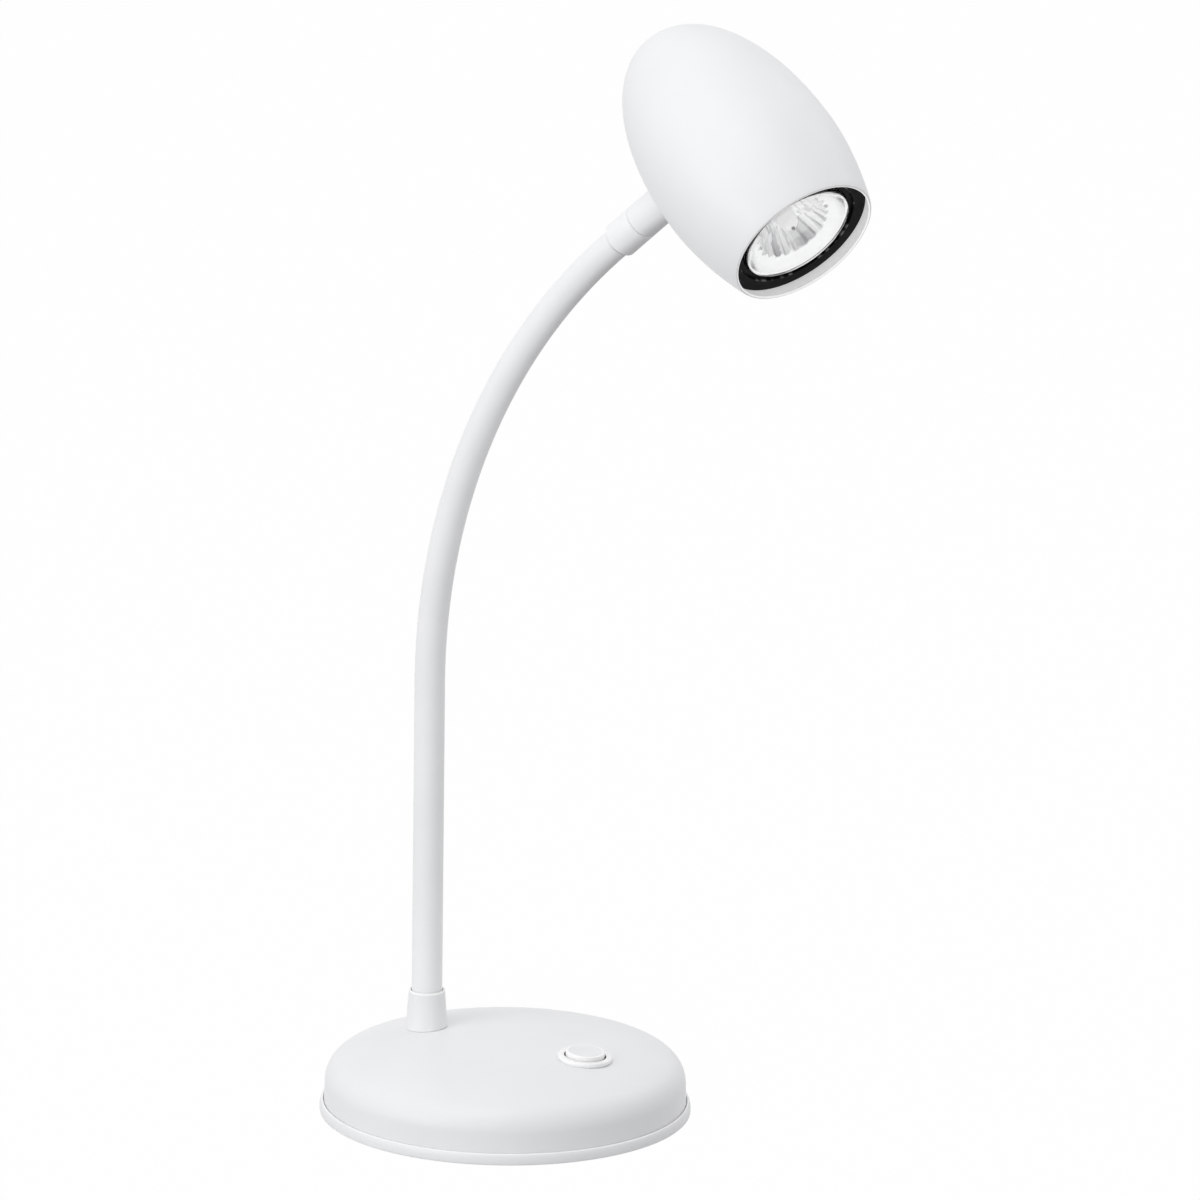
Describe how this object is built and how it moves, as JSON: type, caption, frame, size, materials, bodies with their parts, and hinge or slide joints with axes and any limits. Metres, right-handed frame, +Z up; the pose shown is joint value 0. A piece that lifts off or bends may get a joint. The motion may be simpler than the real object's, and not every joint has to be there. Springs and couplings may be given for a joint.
{
  "type": "gooseneck desk lamp",
  "caption": "Desk lamp with a round weighted base, push button, flexible bending neck, swivelling egg-shaped spot head and twist-lock reflector bulb.",
  "frame": {"origin": "centre of the round base, on the surface that it stands on", "axes": "+Z up; +X from the neck's foot to the push button, the way the neck leans; the neck bends in the XZ plane"},
  "size_m": [0.2549, 0.158, 0.4932],
  "materials": {
    "white_paint": "satin white powder coat with a very fine grain",
    "neck_sleeve": "smooth satin white sleeve",
    "white_plastic": "semi-gloss white moulding",
    "rubber_pad": "matt rubber sheet",
    "black_rubber": "matt black rubber",
    "raw_iron": "raw casting",
    "zinc_steel": "zinc plated",
    "black_plastic": "semi-gloss black, heat resistant",
    "lamp_ceramic": "unglazed steatite",
    "clear_glass": "clear pressed glass",
    "silvered_glass": "fluted glass with a bright metal coat",
    "lead_insulation": "smooth wire insulation"
  },
  "bodies": {
    "base": {"base_pad": "rubber_pad", "base_plate": "white_paint", "base_shell": "white_paint", "ballast_weight": "raw_iron", "base_screws": "zinc_steel", "cord_grommet": "black_rubber", "switch_bezel": "white_plastic", "switch_nut": "zinc_steel", "switch_body": "black_plastic", "switch_spring": "zinc_steel", "neck_collar": "white_paint", "foot_nipple": "zinc_steel", "foot_washer": "zinc_steel", "foot_nut": "zinc_steel", "base_leads": "lead_insulation", "neck_segment_0": "neck_sleeve"},
    "neck_1": {"neck_segment_1": "neck_sleeve"},
    "neck_2": {"neck_segment_2": "neck_sleeve"},
    "neck_3": {"neck_segment_3": "neck_sleeve"},
    "neck_4": {"neck_segment_4": "neck_sleeve"},
    "neck_5": {"neck_segment_5": "neck_sleeve"},
    "neck_6": {"neck_segment_6": "neck_sleeve"},
    "neck_7": {"neck_segment_7": "neck_sleeve"},
    "neck_8": {"neck_segment_8": "neck_sleeve"},
    "neck_9": {"neck_segment_9": "neck_sleeve"},
    "neck_10": {"neck_segment_10": "neck_sleeve"},
    "neck_11": {"neck_segment_11": "neck_sleeve"},
    "neck_12": {"neck_segment_12": "neck_sleeve"},
    "neck_13": {"neck_segment_13": "neck_sleeve"},
    "neck_14": {"neck_segment_14": "neck_sleeve", "neck_ferrule": "white_paint"},
    "head": {"swivel_nipple": "zinc_steel", "swivel_washer": "zinc_steel", "head_stub": "white_paint", "shade": "white_paint", "saddle_washer": "zinc_steel", "head_nut": "zinc_steel", "bulb_ring": "black_plastic", "holder_bracket": "zinc_steel", "lampholder": "lamp_ceramic", "holder_screws": "zinc_steel", "lamp_leads": "lead_insulation"},
    "bulb": {"bulb_lens": "clear_glass", "bulb_reflector": "silvered_glass", "bulb_burner": "clear_glass", "bulb_base": "lamp_ceramic", "bulb_pins": "zinc_steel"},
    "button": {"push_button": "white_plastic"}
  },
  "joints": [
    {"name": "neck_lower_bend", "type": "hinge", "parent": "base", "child": "neck_1", "pos_m": [-0.04, 0, 0.0619], "axis": [0, 1, 0], "range_deg": [-5, 10]},
    {"name": "neck_sway", "type": "hinge", "parent": "neck_1", "child": "neck_2", "pos_m": [-0.04, 0, 0.08632], "axis": [1, 0, 0], "range_deg": [-10, 10]},
    {"name": "neck_lower_bend_2", "type": "hinge", "parent": "neck_2", "child": "neck_3", "pos_m": [-0.04, 0, 0.11074], "axis": [0, 1, 0], "range_deg": [-5, 10]},
    {"name": "neck_sway_2", "type": "hinge", "parent": "neck_3", "child": "neck_4", "pos_m": [-0.04, 0, 0.13516], "axis": [1, 0, 0], "range_deg": [-10, 10]},
    {"name": "neck_lower_bend_3", "type": "hinge", "parent": "neck_4", "child": "neck_5", "pos_m": [-0.04, 0, 0.15958], "axis": [0, 1, 0], "range_deg": [-5, 10]},
    {"name": "neck_sway_3", "type": "hinge", "parent": "neck_5", "child": "neck_6", "pos_m": [-0.04, 0, 0.184], "axis": [1, 0, 0], "range_deg": [-10, 10]},
    {"name": "neck_upper_bend", "type": "hinge", "parent": "neck_6", "child": "neck_7", "pos_m": [-0.03882, 0, 0.21001], "axis": [0, 1, 0], "range_deg": [-6.5, 6.5]},
    {"name": "neck_upper_bend_2", "type": "hinge", "parent": "neck_7", "child": "neck_8", "pos_m": [-0.03528, 0, 0.23581], "axis": [0, 1, 0], "range_deg": [-6.5, 6.5]},
    {"name": "neck_upper_bend_3", "type": "hinge", "parent": "neck_8", "child": "neck_9", "pos_m": [-0.02943, 0, 0.26118], "axis": [0, 1, 0], "range_deg": [-6.5, 6.5]},
    {"name": "neck_upper_bend_4", "type": "hinge", "parent": "neck_9", "child": "neck_10", "pos_m": [-0.0213, 0, 0.28592], "axis": [0, 1, 0], "range_deg": [-6.5, 6.5]},
    {"name": "neck_upper_bend_5", "type": "hinge", "parent": "neck_10", "child": "neck_11", "pos_m": [-0.01095, 0, 0.30981], "axis": [0, 1, 0], "range_deg": [-6.5, 6.5]},
    {"name": "neck_upper_bend_6", "type": "hinge", "parent": "neck_11", "child": "neck_12", "pos_m": [0.00151, 0, 0.33267], "axis": [0, 1, 0], "range_deg": [-6.5, 6.5]},
    {"name": "neck_upper_bend_7", "type": "hinge", "parent": "neck_12", "child": "neck_13", "pos_m": [0.01599, 0, 0.35431], "axis": [0, 1, 0], "range_deg": [-6.5, 6.5]},
    {"name": "neck_upper_bend_8", "type": "hinge", "parent": "neck_13", "child": "neck_14", "pos_m": [0.03238, 0, 0.37455], "axis": [0, 1, 0], "range_deg": [-6.5, 6.5]},
    {"name": "head_swivel", "type": "hinge", "parent": "neck_14", "child": "head", "pos_m": [0.06264, 0, 0.40458], "axis": [0.729, 0, 0.6845], "range_deg": [-145, 145]},
    {"name": "bulb_twist", "type": "hinge", "parent": "head", "child": "bulb", "pos_m": [0.14044, -0.01157, 0.42668], "axis": [0.8047, -0.2893, -0.5184], "range_deg": [0, 38]},
    {"name": "button_press", "type": "slide", "parent": "base", "child": "button", "axis": [-0.08, 0, -0.9968], "range_m": [0, 0.0018], "stiffness_N_per_m": 700, "springref_m": -0.0015, "deforming": ["switch_spring"]}
  ]
}
